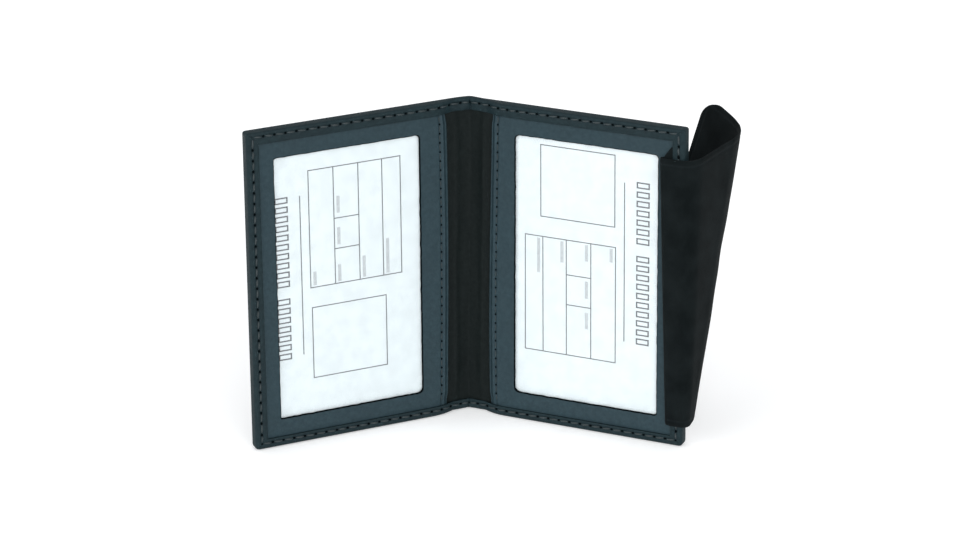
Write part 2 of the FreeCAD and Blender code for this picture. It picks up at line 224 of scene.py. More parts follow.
class Nodes:
    """A new material's node tree, with short ways to add and join nodes."""

    def __init__(self, name):
        self.material = bpy.data.materials.new(name)
        self.material.use_nodes = True
        self.tree = self.material.node_tree
        self.shader = self.tree.nodes["Principled BSDF"]
        self.place = self.add("ShaderNodeTexCoord").outputs["Object"]

    def add(self, kind, **settings):
        node = self.tree.nodes.new(kind)
        for key, value in settings.items():
            setattr(node, key, value)
        return node

    def join(self, source, target):
        self.tree.links.new(source, target)

    def fix(self, **values):
        """Set constants on the shader's own sockets."""
        for key, value in values.items():
            self.shader.inputs[key.replace("_", " ")].default_value = value

    def noise(self, per_mm, detail=3.0, rough=0.55):
        node = self.add("ShaderNodeTexNoise")
        node.inputs["Scale"].default_value = per_mm / MM
        node.inputs["Detail"].default_value = detail
        node.inputs["Roughness"].default_value = rough
        self.join(self.place, node.inputs["Vector"])
        return node.outputs["Fac"]

    def cells(self, per_mm):
        node = self.add("ShaderNodeTexVoronoi")
        node.inputs["Scale"].default_value = per_mm / MM
        self.join(self.place, node.inputs["Vector"])
        return node.outputs["Distance"]

    def math(self, operation, a, b=None):
        node = self.add("ShaderNodeMath", operation=operation)
        for socket, value in zip(node.inputs, (a, b)):
            if value is None:
                continue
            if isinstance(value, (int, float)):
                socket.default_value = value
            else:
                self.join(value, socket)
        return node.outputs[0]

    def ramp(self, value, low, high, out_low=0.0, out_high=1.0):
        node = self.add("ShaderNodeMapRange", interpolation_type="SMOOTHSTEP")
        self.join(value, node.inputs["Value"])
        limits = {"From Min": low, "From Max": high, "To Min": out_low, "To Max": out_high}
        for key, number in limits.items():
            node.inputs[key].default_value = number
        return node.outputs["Result"]

    def mix(self, factor, a, b):
        node = self.add("ShaderNodeMix", data_type="RGBA")
        self.join(factor, node.inputs["Factor"])
        for socket, value in ((node.inputs["A"], a), (node.inputs["B"], b)):
            if isinstance(value, tuple):
                socket.default_value = (*value, 1.0)
            else:
                self.join(value, socket)
        return node.outputs["Result"]

    def colour(self, source):
        self.join(source, self.shader.inputs["Base Color"])

    def rough(self, source):
        self.join(source, self.shader.inputs["Roughness"])

    def bump(self, height, depth_mm, strength=1.0):
        node = self.add("ShaderNodeBump")
        node.inputs["Distance"].default_value = depth_mm * MM
        node.inputs["Strength"].default_value = strength
        self.join(height, node.inputs["Height"])
        self.join(node.outputs["Normal"], self.shader.inputs["Normal"])


def leather_material(name, dark, light, rough, grain_depth, wear, shine=0.25):
    """Grained leather: pebbled cells, fine pores, mottled colour and paler rubbed edges."""
    m = Nodes(name)
    cells = m.cells(1.5)
    pores = m.noise(5.0, 2.0)
    grain = m.math("ADD", m.math("MULTIPLY", cells, 0.8), m.math("MULTIPLY", pores, 0.5))
    mottle = m.noise(0.09, 4.0)
    fine = m.noise(0.7, 5.0, 0.65)
    shade = m.math("ADD", m.math("MULTIPLY", mottle, 0.3), m.math("MULTIPLY", fine, 0.7))
    base = m.mix(m.ramp(shade, 0.3, 0.72), dark, light)
    edge = m.add("ShaderNodeNewGeometry").outputs["Pointiness"]
    rub = m.math("MULTIPLY", m.ramp(edge, 0.53, 0.62), m.ramp(m.noise(0.4, 3.0), 0.35, 0.7))
    m.colour(m.mix(m.math("MULTIPLY", rub, wear), base, tuple(min(1.0, c * 3.0) for c in light)))
    m.rough(m.ramp(m.math("ADD", m.math("MULTIPLY", grain, 0.5), mottle), 0.5, 1.1, *rough))
    m.bump(grain, grain_depth, 0.6)
    m.fix(Specular_IOR_Level=shine)
    return m.material


def suede_material():
    """Napped black suede: short fibres, patches of turned nap and a pressed line inside the edge, painted
    lighter as a highlight.
    """
    m = Nodes("leaf_suede")
    fibre = m.noise(6.0, 5.0, 0.7)
    patch = m.noise(0.12, 3.0)
    flat = m.add("ShaderNodeUVMap", uv_map="flat")
    split = m.add("ShaderNodeSeparateXYZ")
    m.join(flat.outputs["UV"], split.inputs["Vector"])
    away = m.math("ABSOLUTE", m.math("SUBTRACT", split.outputs["X"], PRESSED_LINE))
    pressed = m.ramp(away, 0.1, 0.6, 1.0, 0.0)
    nap = m.math("ADD", m.math("MULTIPLY", fibre, 0.6), m.math("MULTIPLY", patch, 0.6))
    base = m.mix(m.ramp(nap, 0.4, 0.8), (0.0026, 0.0042, 0.0046), (0.0078, 0.0108, 0.0116))
    # along the pressed line the colour is mixed towards a lighter grey: a painted highlight beside the
    # line's real groove in the bump
    m.colour(m.mix(m.math("MULTIPLY", pressed, 0.15), base, (0.018, 0.024, 0.027)))
    m.rough(m.ramp(fibre, 0.3, 0.7, 0.85, 0.98))
    m.bump(m.math("SUBTRACT", fibre, m.math("MULTIPLY", pressed, 0.8)), 0.12, 0.7)
    m.fix(Specular_IOR_Level=0.03, Sheen_Weight=0.03, Sheen_Roughness=0.5)
    return m.material


def thread_material():
    """Waxed black thread with a fine twist."""
    m = Nodes("waxed_thread")
    twist = m.add("ShaderNodeTexWave", wave_type="BANDS", bands_direction="DIAGONAL")
    twist.inputs["Scale"].default_value = 1.6 / MM
    m.join(m.place, twist.inputs["Vector"])
    m.colour(m.mix(twist.outputs["Fac"], (0.0080, 0.0150, 0.0170), (0.0240, 0.0370, 0.0410)))
    m.rough(m.ramp(m.noise(4.0), 0.3, 0.7, 0.35, 0.5))
    m.bump(twist.outputs["Fac"], 0.05, 0.6)
    m.fix(Specular_IOR_Level=0.45)
    return m.material


def card_material():
    """Coated printing card: cool white, faintly mottled, with a smooth satin face."""
    m = Nodes("card_stock")
    mottle = m.noise(0.25, 5.0)
    m.colour(m.mix(m.ramp(mottle, 0.3, 0.7), (0.600, 0.665, 0.685), (0.660, 0.730, 0.750)))
    m.rough(m.ramp(m.noise(2.5), 0.3, 0.7, 0.42, 0.55))
    m.bump(m.noise(4.0, 2.0), 0.01, 0.4)
    return m.material


def ink_material(name, dark, light):
    m = Nodes(name)
    patch = m.noise(1.6, 4.0)
    m.colour(m.mix(m.ramp(patch, 0.35, 0.7), dark, light))
    m.rough(m.ramp(patch, 0.3, 0.7, 0.5, 0.65))
    return m.material


def pane_material():
    """Thin clear film, nearly invisible but for a faint gloss."""
    m = Nodes("clear_film")
    haze = m.noise(0.06, 2.0)
    m.rough(m.ramp(haze, 0.3, 0.7, 0.12, 0.22))
    m.bump(haze, 0.15, 0.3)
    m.fix(Alpha=0.06, IOR=1.3)
    m.shader.inputs["Base Color"].default_value = (0.95, 0.97, 0.98, 1.0)
    return m.material


def board_material():
    m = Nodes("fibre_board")
    fibre = m.noise(1.2, 6.0, 0.7)
    m.colour(m.mix(m.ramp(fibre, 0.3, 0.7), (0.16, 0.13, 0.10), (0.27, 0.23, 0.18)))
    m.rough(m.ramp(fibre, 0.3, 0.7, 0.8, 0.95))
    m.bump(fibre, 0.05)
    return m.material


OUTER = leather_material("outer_leather", (0.0046, 0.0130, 0.0165), (0.0100, 0.0235, 0.0280),
                         rough=(0.52, 0.72), grain_depth=0.07, wear=0.4, shine=0.18)
FRAME = leather_material("frame_leather", (0.0110, 0.0270, 0.0350), (0.0190, 0.0400, 0.0500),
                         rough=(0.50, 0.68), grain_depth=0.05, wear=0.4)
LINING = leather_material("lining_leather", (0.0024, 0.0052, 0.0052), (0.0062, 0.0096, 0.0096),
                          rough=(0.50, 0.70), grain_depth=0.03, wear=0.0, shine=0.12)
# near-black cut edges; the same material colours the needle-hole capsules, where its darkness is painted
# shade
CUT_EDGE_AND_HOLE_SHADE = leather_material("cut_edge_and_hole_shade", (0.0008, 0.0020, 0.0026), (0.0020, 0.0040, 0.0050),
                            rough=(0.80, 0.95), grain_depth=0.08, wear=0.0, shine=0.02)
SUEDE = suede_material()
THREAD = thread_material()
CARD = card_material()
INK = ink_material("printing_ink", (0.030, 0.038, 0.045), (0.060, 0.072, 0.085))
GREY_INK = ink_material("grey_ink", (0.36, 0.39, 0.41), (0.46, 0.50, 0.52))
PANE = pane_material()
BOARD = board_material()


# ---------------------------------------------------------------- outer leather


def hem_front(u):
    """Height of the hem's face: low over the spine, rising over the frame's end."""
    rise = np.clip((np.asarray(u, float) - HEM_RISE_START) / HEM_RISE, 0.0, 1.0)
    return SPINE_HEM_FRONT + (HEM_FRONT - SPINE_HEM_FRONT) * (1 - (1 - rise) ** 2)


def hem_profile():
    """(v, base, drop) rows of the hem's section: v in from the edge, then the height.

    The height is measured from the back face when base is 0 and from the hem's face
    when base is 1, so the section follows the hem as it rises.
    """
    back, round_back, round_front = -HALF, 0.9, 0.8
    rows = [(HEM, 0, back), (3.2, 0, back), (2.5, 0, back + 0.02), (STITCH_INSET, 0, back + 0.12),
            (1.7, 0, back + 0.02), (1.25, 0, back)]
    for step in range(5):
        angle = math.pi / 2 * step / 4
        rows.append((round_back * (1 - math.sin(angle)), 0, back + round_back * (1 - math.cos(angle))))
    for step in range(5):
        angle = math.pi / 2 * step / 4
        rows.append((round_front * (1 - math.cos(angle)), 1, -round_front * (1 - math.sin(angle))))
    rows += [(1.1, 1, 0.05), (1.5, 1, 0.03), (1.8, 1, -0.10), (STITCH_INSET, 1, -0.18),
             (2.4, 1, -0.10), (2.7, 1, 0.02), (3.3, 1, 0.05), (3.8, 1, 0.0), (4.05, 1, -0.08),
             (4.17, 1, -0.2), (HEM, 1, -0.36), (4.1, 1, -0.5), (3.7, 1, -0.52),
             (3.2, 1, -HEM_THICK), (EDGE_WALL, 1, -HEM_THICK), (EDGE_WALL, 0, HALF + 0.02), (HEM, 0, HALF)]
    return np.array(rows)


def uneven_hem(z):
    """Height of a point once the foot's hem is made narrower and the head's seam is nearer the edge."""
    foot = FOOT_HEM_LESS * np.where(z < HEM, (np.clip(z, 0, HEM) / HEM) ** 3, np.exp(-(z - HEM) / 3.0))
    below = np.clip(TALL - z, 0, HEM)
    return z - foot + HEAD_SEAM_RISE * np.sin(math.pi * below / HEM)


def hem_path():
    """Steps along the three hemmed sides: (kind, position, is a needle hole)."""
    across = np.linspace(CREST_START, WIDE - STITCH_INSET, STITCHES_ACROSS * SAMPLES_PER_STITCH + 1)
    across = across[across < WIDE - HEM - 0.2]
    across_hole = np.arange(len(across)) % SAMPLES_PER_STITCH == 0
    up = np.linspace(STITCH_INSET, TALL - STITCH_INSET, STITCHES_UP * SAMPLES_PER_STITCH + 1)
    hole = np.arange(len(up)) % SAMPLES_PER_STITCH == 0
    keep = (up > HEM + 0.2) & (up < TALL - HEM - 0.2)
    up, up_hole = up[keep], hole[keep]
    fan = (0.0, 0.25, 0.5, 0.72, 0.88, 0.97)
    steps = [("foot", value, flag) for value, flag in zip(across, across_hole)]
    steps += [("foot_fan", value, False) for value in fan]
    steps += [("foot_mitre", 1.0, True)]
    steps += [("foot_turn", value, False) for value in reversed(fan)]
    steps += [("outer", value, flag) for value, flag in zip(up, up_hole)]
    steps += [("head_turn", value, False) for value in fan]
    steps += [("head_mitre", 1.0, True)]
    steps += [("head_fan", value, False) for value in reversed(fan)]
    steps += [("head", value, flag) for value, flag in zip(across[::-1], across_hole[::-1])]
    return steps, across, up


def path_place(kind, value, v):
    """(u, z) of the point a distance v in from the edge at one step of the hem's path."""
    inner = WIDE - HEM
    if kind in ("foot", "head"):
        u, z = np.full_like(v, value), v
    elif kind in ("foot_fan", "head_fan", "foot_mitre", "head_mitre"):
        u, z = inner + value * (HEM - v), v
    elif kind in ("foot_turn", "head_turn"):
        u, z = WIDE - v, HEM - value * (HEM - v)
    else:
        return WIDE - v, np.full_like(v, value)
    return u, (TALL - z if kind.startswith("head") else z)


def round_corner(u, z):
    """Pull the square outer corners in to an arc."""
    low = z < TALL / 2
    a = np.clip(CORNER_ROUND - (WIDE - u), 0.0, None)
    b = np.clip(CORNER_ROUND - np.where(low, z, TALL - z), 0.0, None)
    corner = (a > 0) & (b > 0)
    shrink = np.where(corner, np.maximum(a, b) / np.maximum(np.hypot(a, b), 1e-9), 1.0)
    new_u = np.where(corner, WIDE - CORNER_ROUND + a * shrink, u)
    new_z = np.where(corner, np.where(low, CORNER_ROUND - b * shrink, TALL - CORNER_ROUND + b * shrink), z)
    return new_u, new_z


def make_outer_leather(side):
    """Half of the case's outer leather, from the middle of the spine, with its turned hem."""
    profile = hem_profile()
    steps, across, up = hem_path()
    v, on_hem, height = profile.T
    seed = 3.0 if side == "left" else 11.0
    rows = []
    for kind, value, hole in steps:
        u, z = path_place(kind, value, v)
        front = hem_front(u)
        n = height + np.where(on_hem > 0, front, 0.0)
        near_seam = np.exp(-((v - STITCH_INSET) / 0.45) ** 2)
        face = (on_hem > 0) & (height > -0.3)  # the hem's upper face, without its underside
        n = n - np.where(face, near_seam * (0.40 if hole else -0.12), 0.0)
        if kind.endswith("mitre"):
            n = n - np.where(face & (v > 0.5), 0.28, 0.0)
        gather = GATHER_DEPTH * np.clip(1 - np.abs(u - GATHER_AT) / GATHER_REACH, 0.0, 1.0)
        wrinkle = ripple(u, v * 0.4, GATHER_PITCH, seed + (5.0 if kind == "head" else 0.0))
        n = n + np.where(face, gather * wrinkle, 0.0)
        u, z = round_corner(u, z)
        rows.append((u, uneven_hem(z), n))
    u, z, n = (np.concatenate(column) for column in zip(*rows))
    faces = grid_faces(len(steps), len(profile))
    lip_edge = (on_hem[:-1] > 0) & (height[:-1] < -0.15) & (v[:-1] > 4.0)
    groups = [int(flag) for flag in lip_edge] * (len(steps) - 1)
    columns = np.concatenate([across, [WIDE - HEM]])
    levels = np.concatenate([[HEM], up, [TALL - HEM]])
    plate_u, plate_z = np.meshgrid(columns, levels)
    count = len(u)
    for depth in (-HALF, HALF):
        faces += grid_faces(len(levels), len(columns), offset=count)
        u = np.concatenate([u, plate_u.ravel()])
        z = np.concatenate([z, uneven_hem(plate_z.ravel())])
        n = np.concatenate([n, np.full(plate_u.size, depth)])
        count += plate_u.size
    per_plate, start = plate_u.size, len(steps) * len(profile)
    outer_column = [start + row * len(columns) for row in range(len(levels))]
    inner_column = [index + per_plate for index in outer_column]
    last = (len(steps) - 1) * len(profile)
    cap = list(range(len(profile))) + inner_column[1:-1]
    cap += list(range(last + len(profile) - 1, last - 1, -1)) + outer_column[-2:0:-1]
    faces.append(tuple(cap))
    groups += [0] * (len(faces) - len(groups))
    u, n = round_crest(u, n)
    piece = make_piece("outer_leather_" + side, place(side, u, z, n), faces, [OUTER, CUT_EDGE_AND_HOLE_SHADE], groups)
    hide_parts("shell_" + side, *(["shell_spine"] if side == "left" else []))
    return fold_with(piece, side)


# ---------------------------------------------------------------- lining


def make_lining(side):
    """Lining from the middle of the spine to the back of the pocket, loose over the fold."""
    seed = 21.0 if side == "left" else 33.0
    near_spine, pocket = np.linspace(CREST_START, 12.0, 37), np.linspace(16.0, WIDE - EDGE_WALL, 9)
    columns = np.concatenate([near_spine, pocket])
    levels = np.linspace(EDGE_WALL, TALL - EDGE_WALL, 90)
    u, z = np.meshgrid(columns, levels)
    free = smooth(np.minimum(z - HEM, TALL - HEM - z) / 10.0) * smooth((6.5 - u) / 1.5)
    soft = 0.28 * np.exp(-((u - 4.6) / 1.3) ** 2) + 0.16 * ripple(u * 5.0, z, 14.0, seed)
    rise = (LINING_FRONT - SPINE_LINING_FRONT) * smooth((u - 3.6) / 2.0)
    front = SPINE_LINING_FRONT + rise + free * soft
    back = np.full_like(front, HALF + 0.05) + (LINING_FRONT - 0.35 - HALF) * smooth((u - 6.0) / 2.0)
    faces = closed_sheet_faces(*u.shape)
    all_u = np.concatenate([u.ravel(), u.ravel()])
    all_n = np.concatenate([front.ravel(), back.ravel()])
    all_u, all_n = round_crest(all_u, all_n)
    points = place(side, all_u, np.concatenate([z.ravel(), z.ravel()]), all_n)
    piece = make_piece("lining_" + side, points, faces, [LINING])
    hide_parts("pocket_back_" + side, *(["spine_lining"] if side == "left" else []))
    return fold_with(piece, side)


# ---------------------------------------------------------------- window frame

WINDOW_START, WINDOW_WIDE = 17.6, 49.4
WINDOW_FOOT, WINDOW_TALL = 9.2, 89.0
FRAME_START, FRAME_END = 8.8, WIDE - EDGE_WALL - 0.05
MOUTH_BOW, MOUTH_GAPE, MOUTH_END = 0.55, 0.1, 16.0
PRESSED_LENGTH = 4.0
ARC_POINTS = 7
MOUTH_RIDGES = (
    # distance in from the pocket's mouth, half width, height: the edge, a groove, a ridge and the seam
    (0.0, 0.16, -0.30),
    (0.75, 0.22, -0.44),
    (1.3, 0.25, 0.16),
    (POCKET_STITCH_INSET, 0.35, -0.28),
)


def frame_front(u, z):
    """Height of the frame's face: pressed down by the hem, gaping between at the mouth."""
    pressed = 1 - smooth((np.minimum(z, TALL - z) - HEM) / PRESSED_LENGTH)
    gaping = FRAME_FRONT + MOUTH_GAPE * smooth((MOUTH_END - u) / (MOUTH_END - FRAME_START))
    return gaping * (1 - pressed) + (hem_front(u) - HEM_THICK) * pressed


def frame_bow(u, z):
    """How far the pocket's mouth bows towards the spine."""
    near = smooth((WINDOW_START - u) / (WINDOW_START - FRAME_START))
    return MOUTH_BOW * near * np.sin(np.pi * np.clip(z / TALL, 0, 1))


def rounded_loop(start, end, foot, head, radii, spacing):
    """Points round a rectangle with rounded corners, anticlockwise from the foot's start.

    Each corner has the same number of points, so that two loops can be joined.
    """
    corners = ((start, foot, 1, 1), (end, foot, -1, 1), (end, head, -1, -1), (start, head, 1, -1))
    arcs = []
    for index, (radius, (at_u, at_z, in_u, in_z)) in enumerate(zip(radii, corners)):
        angles = math.pi + (index + np.linspace(0, 1, ARC_POINTS)) * math.pi / 2
        across, up = radius * (in_u + np.cos(angles)), radius * (in_z + np.sin(angles))
        arcs.append(np.stack([at_u + across, at_z + up], -1))
    points = []
    for index, arc in enumerate(arcs):
        following = arcs[(index + 1) % 4][0]
        share = np.linspace(0, 1, spacing[index % 2] + 1)[1:-1, None]
        points += [arc, arc[-1] * (1 - share) + following * share]
    return np.concatenate(points)


def make_frame(side):
    """Leather frame with a die-cut window, its mouth turned over and bowed."""
    seed = 41.0 if side == "left" else 57.0
    corner = (1.6, 0.8, 0.8, 1.6) if side == "left" else (1.7, 1.3, 1.3, 1.7)
    spacing = (50, 90)
    outer = rounded_loop(FRAME_START, FRAME_END, EDGE_WALL, TALL - EDGE_WALL, (0.05,) * 4, spacing)
    window = rounded_loop(WINDOW_START, WINDOW_START + WINDOW_WIDE, WINDOW_FOOT, WINDOW_FOOT + WINDOW_TALL,
                          corner, spacing)
    centre = window.mean(0)
    away = (window - centre) / np.linalg.norm(window - centre, axis=1)[:, None]
    ragged = 0.16 * ripple(*window.T, 2.2, seed) + 0.10 * ripple(*window.T, 0.9, seed)
    window = window + away * ragged[:, None]
    shares = [*np.linspace(0.0, 0.36, 28), 0.42, 0.52, 0.64, 0.76, 0.86, 0.93, 0.97, 0.99, 1.0]
    loops = []
    for share in shares:
        u, z = (outer * (1 - share) + window * share).T
        mouth = u - FRAME_START
        n = frame_front(u, z) - (0.10 if share == 1.0 else 0.0)
        for at, reach, lift in MOUTH_RIDGES:
            n = n + lift * np.exp(-((mouth - at) / reach) ** 2)
        loops.append((u - frame_bow(u, z), z, n))
    for share in (1.0, 0.6, 0.36, 0.2, 0.12, 0.06, 0.0):
        u, z = (outer * (1 - share) + window * share).T
        loops.append((u - frame_bow(u, z), z, frame_front(u, z) - FRAME_THICK))
    u, z, n = (np.concatenate(column) for column in zip(*loops))
    count = len(window)
    faces = grid_faces(len(loops), count, closed=True)
    groups = [0] * len(faces)
    for index in range(shares.index(0.97) * count, len(shares) * count):
        groups[index] = 1
    last = (len(loops) - 1) * count
    faces += [(last + i, last + (i + 1) % count, (i + 1) % count, i) for i in range(count)]
    groups += [0] * count
    points = place(side, u, z, n)
    piece = make_piece("window_frame_leather_" + side, points, faces, [FRAME, CUT_EDGE_AND_HOLE_SHADE], groups)
    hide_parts("window_frame_" + side)
    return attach(piece, side + "_panel")


# ---------------------------------------------------------------- sewing


def stitch_mesh(start, end, face_normal, radius, sink):
    """Points and faces of one stitch: a plump strand whose ends dive into the leather."""
    rings, sides = 9, 8
    start, end, up = (np.asarray(v, float) for v in (start, end, face_normal))
    along = (end - start) / np.linalg.norm(end - start)
    across = np.cross(up, along)
    points = []
    for ring in range(rings):
        share = ring / (rings - 1)
        plump = radius * (0.45 + 0.55 * math.sin(math.pi * share) ** 0.5)
        rise = sink * (1 - math.sin(math.pi * share) ** 0.6)
        middle = start + (end - start) * share - up * rise
        for side in range(sides):
            angle = 2 * math.pi * side / sides
            points.append(middle + plump * (math.cos(angle) * across + math.sin(angle) * up))
    faces = grid_faces(rings, sides, closed=True)
    faces.append(tuple(range(sides - 1, -1, -1)))
    faces.append(tuple((rings - 1) * sides + side for side in range(sides)))
    return points, faces


def stitch_group(name, stitches, size, material, replaced=()):
    """One piece of many stitches, each given by its two ends and the leather's outward normal.

    The size is a stitch's radius and how far its ends sink.
    """
    radius, sink = (length * MM for length in size)
    points, faces = [], []
    for start, end, normal in stitches:
        more, quads = stitch_mesh(start, end, normal, radius, sink)
        faces += [tuple(index + len(points) for index in quad) for quad in quads]
        points += more
    piece = make_piece(name, points, faces, [material], weld=0.0001)
    if replaced:
        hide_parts(*replaced)
    return piece


def panel_normal(side):
    """Direction from the panel's back to its face, in the row frame."""
    middle = WIDE / 2
    return (place(side, middle, 0, 1)[0] - place(side, middle, 0, 0)[0]) / MM


def make_hem_thread(side):
    """The seam round the hem, on the front and on the back, and across the spine."""
    holes_u = np.linspace(CREST_START, WIDE - STITCH_INSET, STITCHES_ACROSS + 1)
    holes_z = np.linspace(STITCH_INSET, TALL - STITCH_INSET, STITCHES_UP + 1)
    normal = panel_normal(side)
    runs, hole_shades = [], []

    def on_hem(u, z, front):
        n = np.array([hem_front(np.array([u]))[0] if front else -HALF])
        u, n = round_crest(np.array([u]), n)
        return place(side, u, uneven_hem(np.array([z])), n)[0]

    def add(u0, z0, u1, z1):
        along = np.array([u1 - u0, z1 - z0]) / math.hypot(u1 - u0, z1 - z0)
        skew = np.array([-along[1], along[0]]) * STITCH_SKEW
        first, last = np.array([u0, z0]), np.array([u1, z1])
        for front in (True, False):
            outward = normal if front else -normal
            near, far = first + along * STITCH_GAP - skew, last - along * STITCH_GAP + skew
            runs.append((on_hem(*near, front), on_hem(*far, front), outward))
            # a near-black capsule in each needle hole, as painted shade inside the hole
            reach = along * HOLE_SHADE_REACH
            hole_shades.append((on_hem(*(first - reach), front), on_hem(*(first + reach), front), outward))

    for low, high in zip(holes_u[:-1], holes_u[1:]):
        for level in (STITCH_INSET, TALL - STITCH_INSET):
            add(low, level, high, level)
    for low, high in zip(holes_z[:-1], holes_z[1:]):
        add(WIDE - STITCH_INSET, low, WIDE - STITCH_INSET, high)
    replaced = ["hem_thread_" + side] + (["spine_thread"] if side == "left" else [])
    fold_with(stitch_group("hem_stitches_" + side, runs, HEM_STITCH, THREAD, replaced), side)
    # the hole capsules are near-black painted shade, not thread
    fold_with(stitch_group("hem_needle_hole_shade_" + side, hole_shades, HEM_HOLE_SHADE, CUT_EDGE_AND_HOLE_SHADE), side)


def make_pocket_thread(side):
    """The seam along the pocket's mouth."""
    levels = np.linspace(HEM, TALL - HEM, POCKET_STITCHES + 1)
    normal = panel_normal(side)

    def on_frame(z):
        u, z = np.array([FRAME_START + POCKET_STITCH_INSET]), np.array([z])
        return place(side, u - frame_bow(u, z), z, frame_front(u, z) - POCKET_SEAM_DEPTH)[0]

    runs = [(on_frame(low + STITCH_GAP), on_frame(high - STITCH_GAP), normal)
            for low, high in zip(levels[:-1], levels[1:])]
    # near-black capsules in the needle holes: painted shade inside the holes
    hole_shades = [(on_frame(z - HOLE_SHADE_REACH), on_frame(z + HOLE_SHADE_REACH), normal) for z in levels[1:-1]]
    replaced = ["pocket_thread_" + side]
    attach(stitch_group("pocket_stitches_" + side, runs, POCKET_STITCH, THREAD, replaced), side + "_panel")
    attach(stitch_group("pocket_needle_hole_shade_" + side, hole_shades, POCKET_HOLE_SHADE, CUT_EDGE_AND_HOLE_SHADE), side + "_panel")


# ---------------------------------------------------------------- cards

CARD_FRONT, CARD_THICK, CARD_CORNER = 1.9, 0.5, 3.0
INK_LIFT = 0.015
RULE, BOX_RULE, CAPTION = 0.34, 0.48, 1.1
HEADING_X = -9.3
FORM_WIDE, FORM_HEAD, FORM_FOOT = 31.4, 35.5, -4.3
FORM_COLUMNS = (0.27, 0.54, 0.80)
PICTURE = (0.3, -35.5, 25.8, -11.2)
HEADING_RULE = (-3.0, -26.6, -3.0, 27.4)
# the print's origin on each panel, and its direction up the card: the right card is upside down
PRINT_ORIGIN = {"left": (55.3, 56.5, 1.0), "right": (52.4, 60.3, -1.0)}


def card_box(side):
    low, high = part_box("identity_card_" + side)
    inner = min(abs(low.x), abs(high.x)) / MM / COS
    outer = max(abs(low.x), abs(high.x)) / MM / COS
    return inner, outer, low.z / MM, high.z / MM


def make_card(side):
    """The card: a thin slab with rounded corners and softened edges."""
    start, end, foot, head = card_box(side)
    shift = (CARD_FRONT - CARD_THICK / 2) * SIN / COS
    rim = rounded_loop(start + shift, end + shift, foot, head, (CARD_CORNER,) * 4, (10, 16))
    away = rim - rim.mean(0)
    away /= np.abs(away).max(0)
    softening = [(0.3, 0.0), (0.06, 0.02), (0.0, 0.08)]
    loops = [(rim - away * inset, CARD_FRONT - drop) for inset, drop in softening]
    loops += [(rim - away * inset, CARD_FRONT - CARD_THICK + drop) for inset, drop in reversed(softening)]
    u, z = np.concatenate([loop for loop, _ in loops]).T
    count = len(rim)
    n = np.repeat([depth for _, depth in loops], count)
    faces = grid_faces(len(loops), count, closed=True)
    faces.append(tuple(range(count)))
    faces.append(tuple((len(loops) - 1) * count + i for i in reversed(range(count))))
    piece = make_piece("card_stock_" + side, place(side, u, z, n), faces, [CARD])
    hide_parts("identity_card_" + side)
    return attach(piece, side + "_card")


def strip(x0, y0, x1, y1, wide):
    """Corners of a printed line between two points."""
    length = math.hypot(x1 - x0, y1 - y0)
    ax, ay = (x1 - x0) / length * wide / 2, (y1 - y0) / length * wide / 2
    return [(x0 - ax + ay, y0 - ay - ax), (x1 + ax + ay, y1 + ay - ax),
            (x1 + ax - ay, y1 + ay + ax), (x0 - ax - ay, y0 - ay + ax)]


def box_lines(x0, y0, x1, y1):
    return [(x0, y0, x1, y0), (x1, y0, x1, y1), (x1, y1, x0, y1), (x0, y1, x0, y0)]


def card_print():
    """A plain form, in card millimetres: x across from the heading, y along from the middle."""
    lines = box_lines(0.0, FORM_FOOT, FORM_WIDE, FORM_HEAD)
    first, second, third = (FORM_WIDE * share for share in FORM_COLUMNS)
    lines += [(x, FORM_FOOT, x, FORM_HEAD) for x in (first, second, third)]
    for share in (0.44, 0.70):
        y = FORM_HEAD + (FORM_FOOT - FORM_HEAD) * share
        lines.append((first, y, second, y))
    return lines + box_lines(*PICTURE) + [HEADING_RULE]


def label_bars():
    """Short grey bars where a form has its small captions."""
    first, second, third = (FORM_WIDE * share for share in FORM_COLUMNS)
    captions = ((0.0, 0.0, (3.6,)), (first, 0.0, (4.6,)), (first, 12.6, (4.8,)), (first, 23.4, (4.6,)),
                (second, 0.0, (6.2,)), (third, 0.0, (4.6, 5.4)))
    bars = []
    for column, above_foot, words in captions:
        x, y = column + 1.5, FORM_FOOT + above_foot + 1.2
        for word in words:
            bars.append((x, y, x, y + word))
            y += word + 0.8
    return bars


def heading_boxes():
    """Plain outlined boxes in two runs, where a card has its heading, in card millimetres."""
    pitch, tall, wide = 3.15, 4.0, 1.7
    lines = []
    for first, count in ((-27.4, 7), (-2.4, 10)):
        for i in range(count):
            y = first + i * pitch
            lines += box_lines(HEADING_X - tall / 2, y, HEADING_X + tall / 2, y + wide)
    return lines


def ink_slabs(side, quads):
    """Points and faces of thin ink slabs on the card."""
    origin_u, origin_z, turn = PRINT_ORIGIN[side]
    points, faces = [], []
    for quad in quads:
        base = len(points)
        for rise in (INK_LIFT, 0.0):
            points += [(origin_u - x, origin_z + turn * y, CARD_FRONT + rise) for x, y in quad]
        faces += [tuple(range(base, base + 4)), tuple(range(base + 7, base + 3, -1))]
        for i in range(4):
            j = (i + 1) % 4
            faces.append((base + i, base + 4 + i, base + 4 + j, base + j))
    return place(side, *np.array(points).T), faces


def make_print(side):
    """The printed form and its grey captions, as thin ink on the card."""
    groups = (("form_print_", card_print(), RULE, INK), ("form_captions_", label_bars(), CAPTION, GREY_INK),
              ("heading_boxes_", heading_boxes(), BOX_RULE, INK))
    for name, lines, wide, material in groups:
        quads = [strip(*line, wide) for line in lines]
        piece = make_piece(name + side, *ink_slabs(side, quads), [material], weld=0.0001)
        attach(piece, side + "_card")


# ---------------------------------------------------------------- leaf

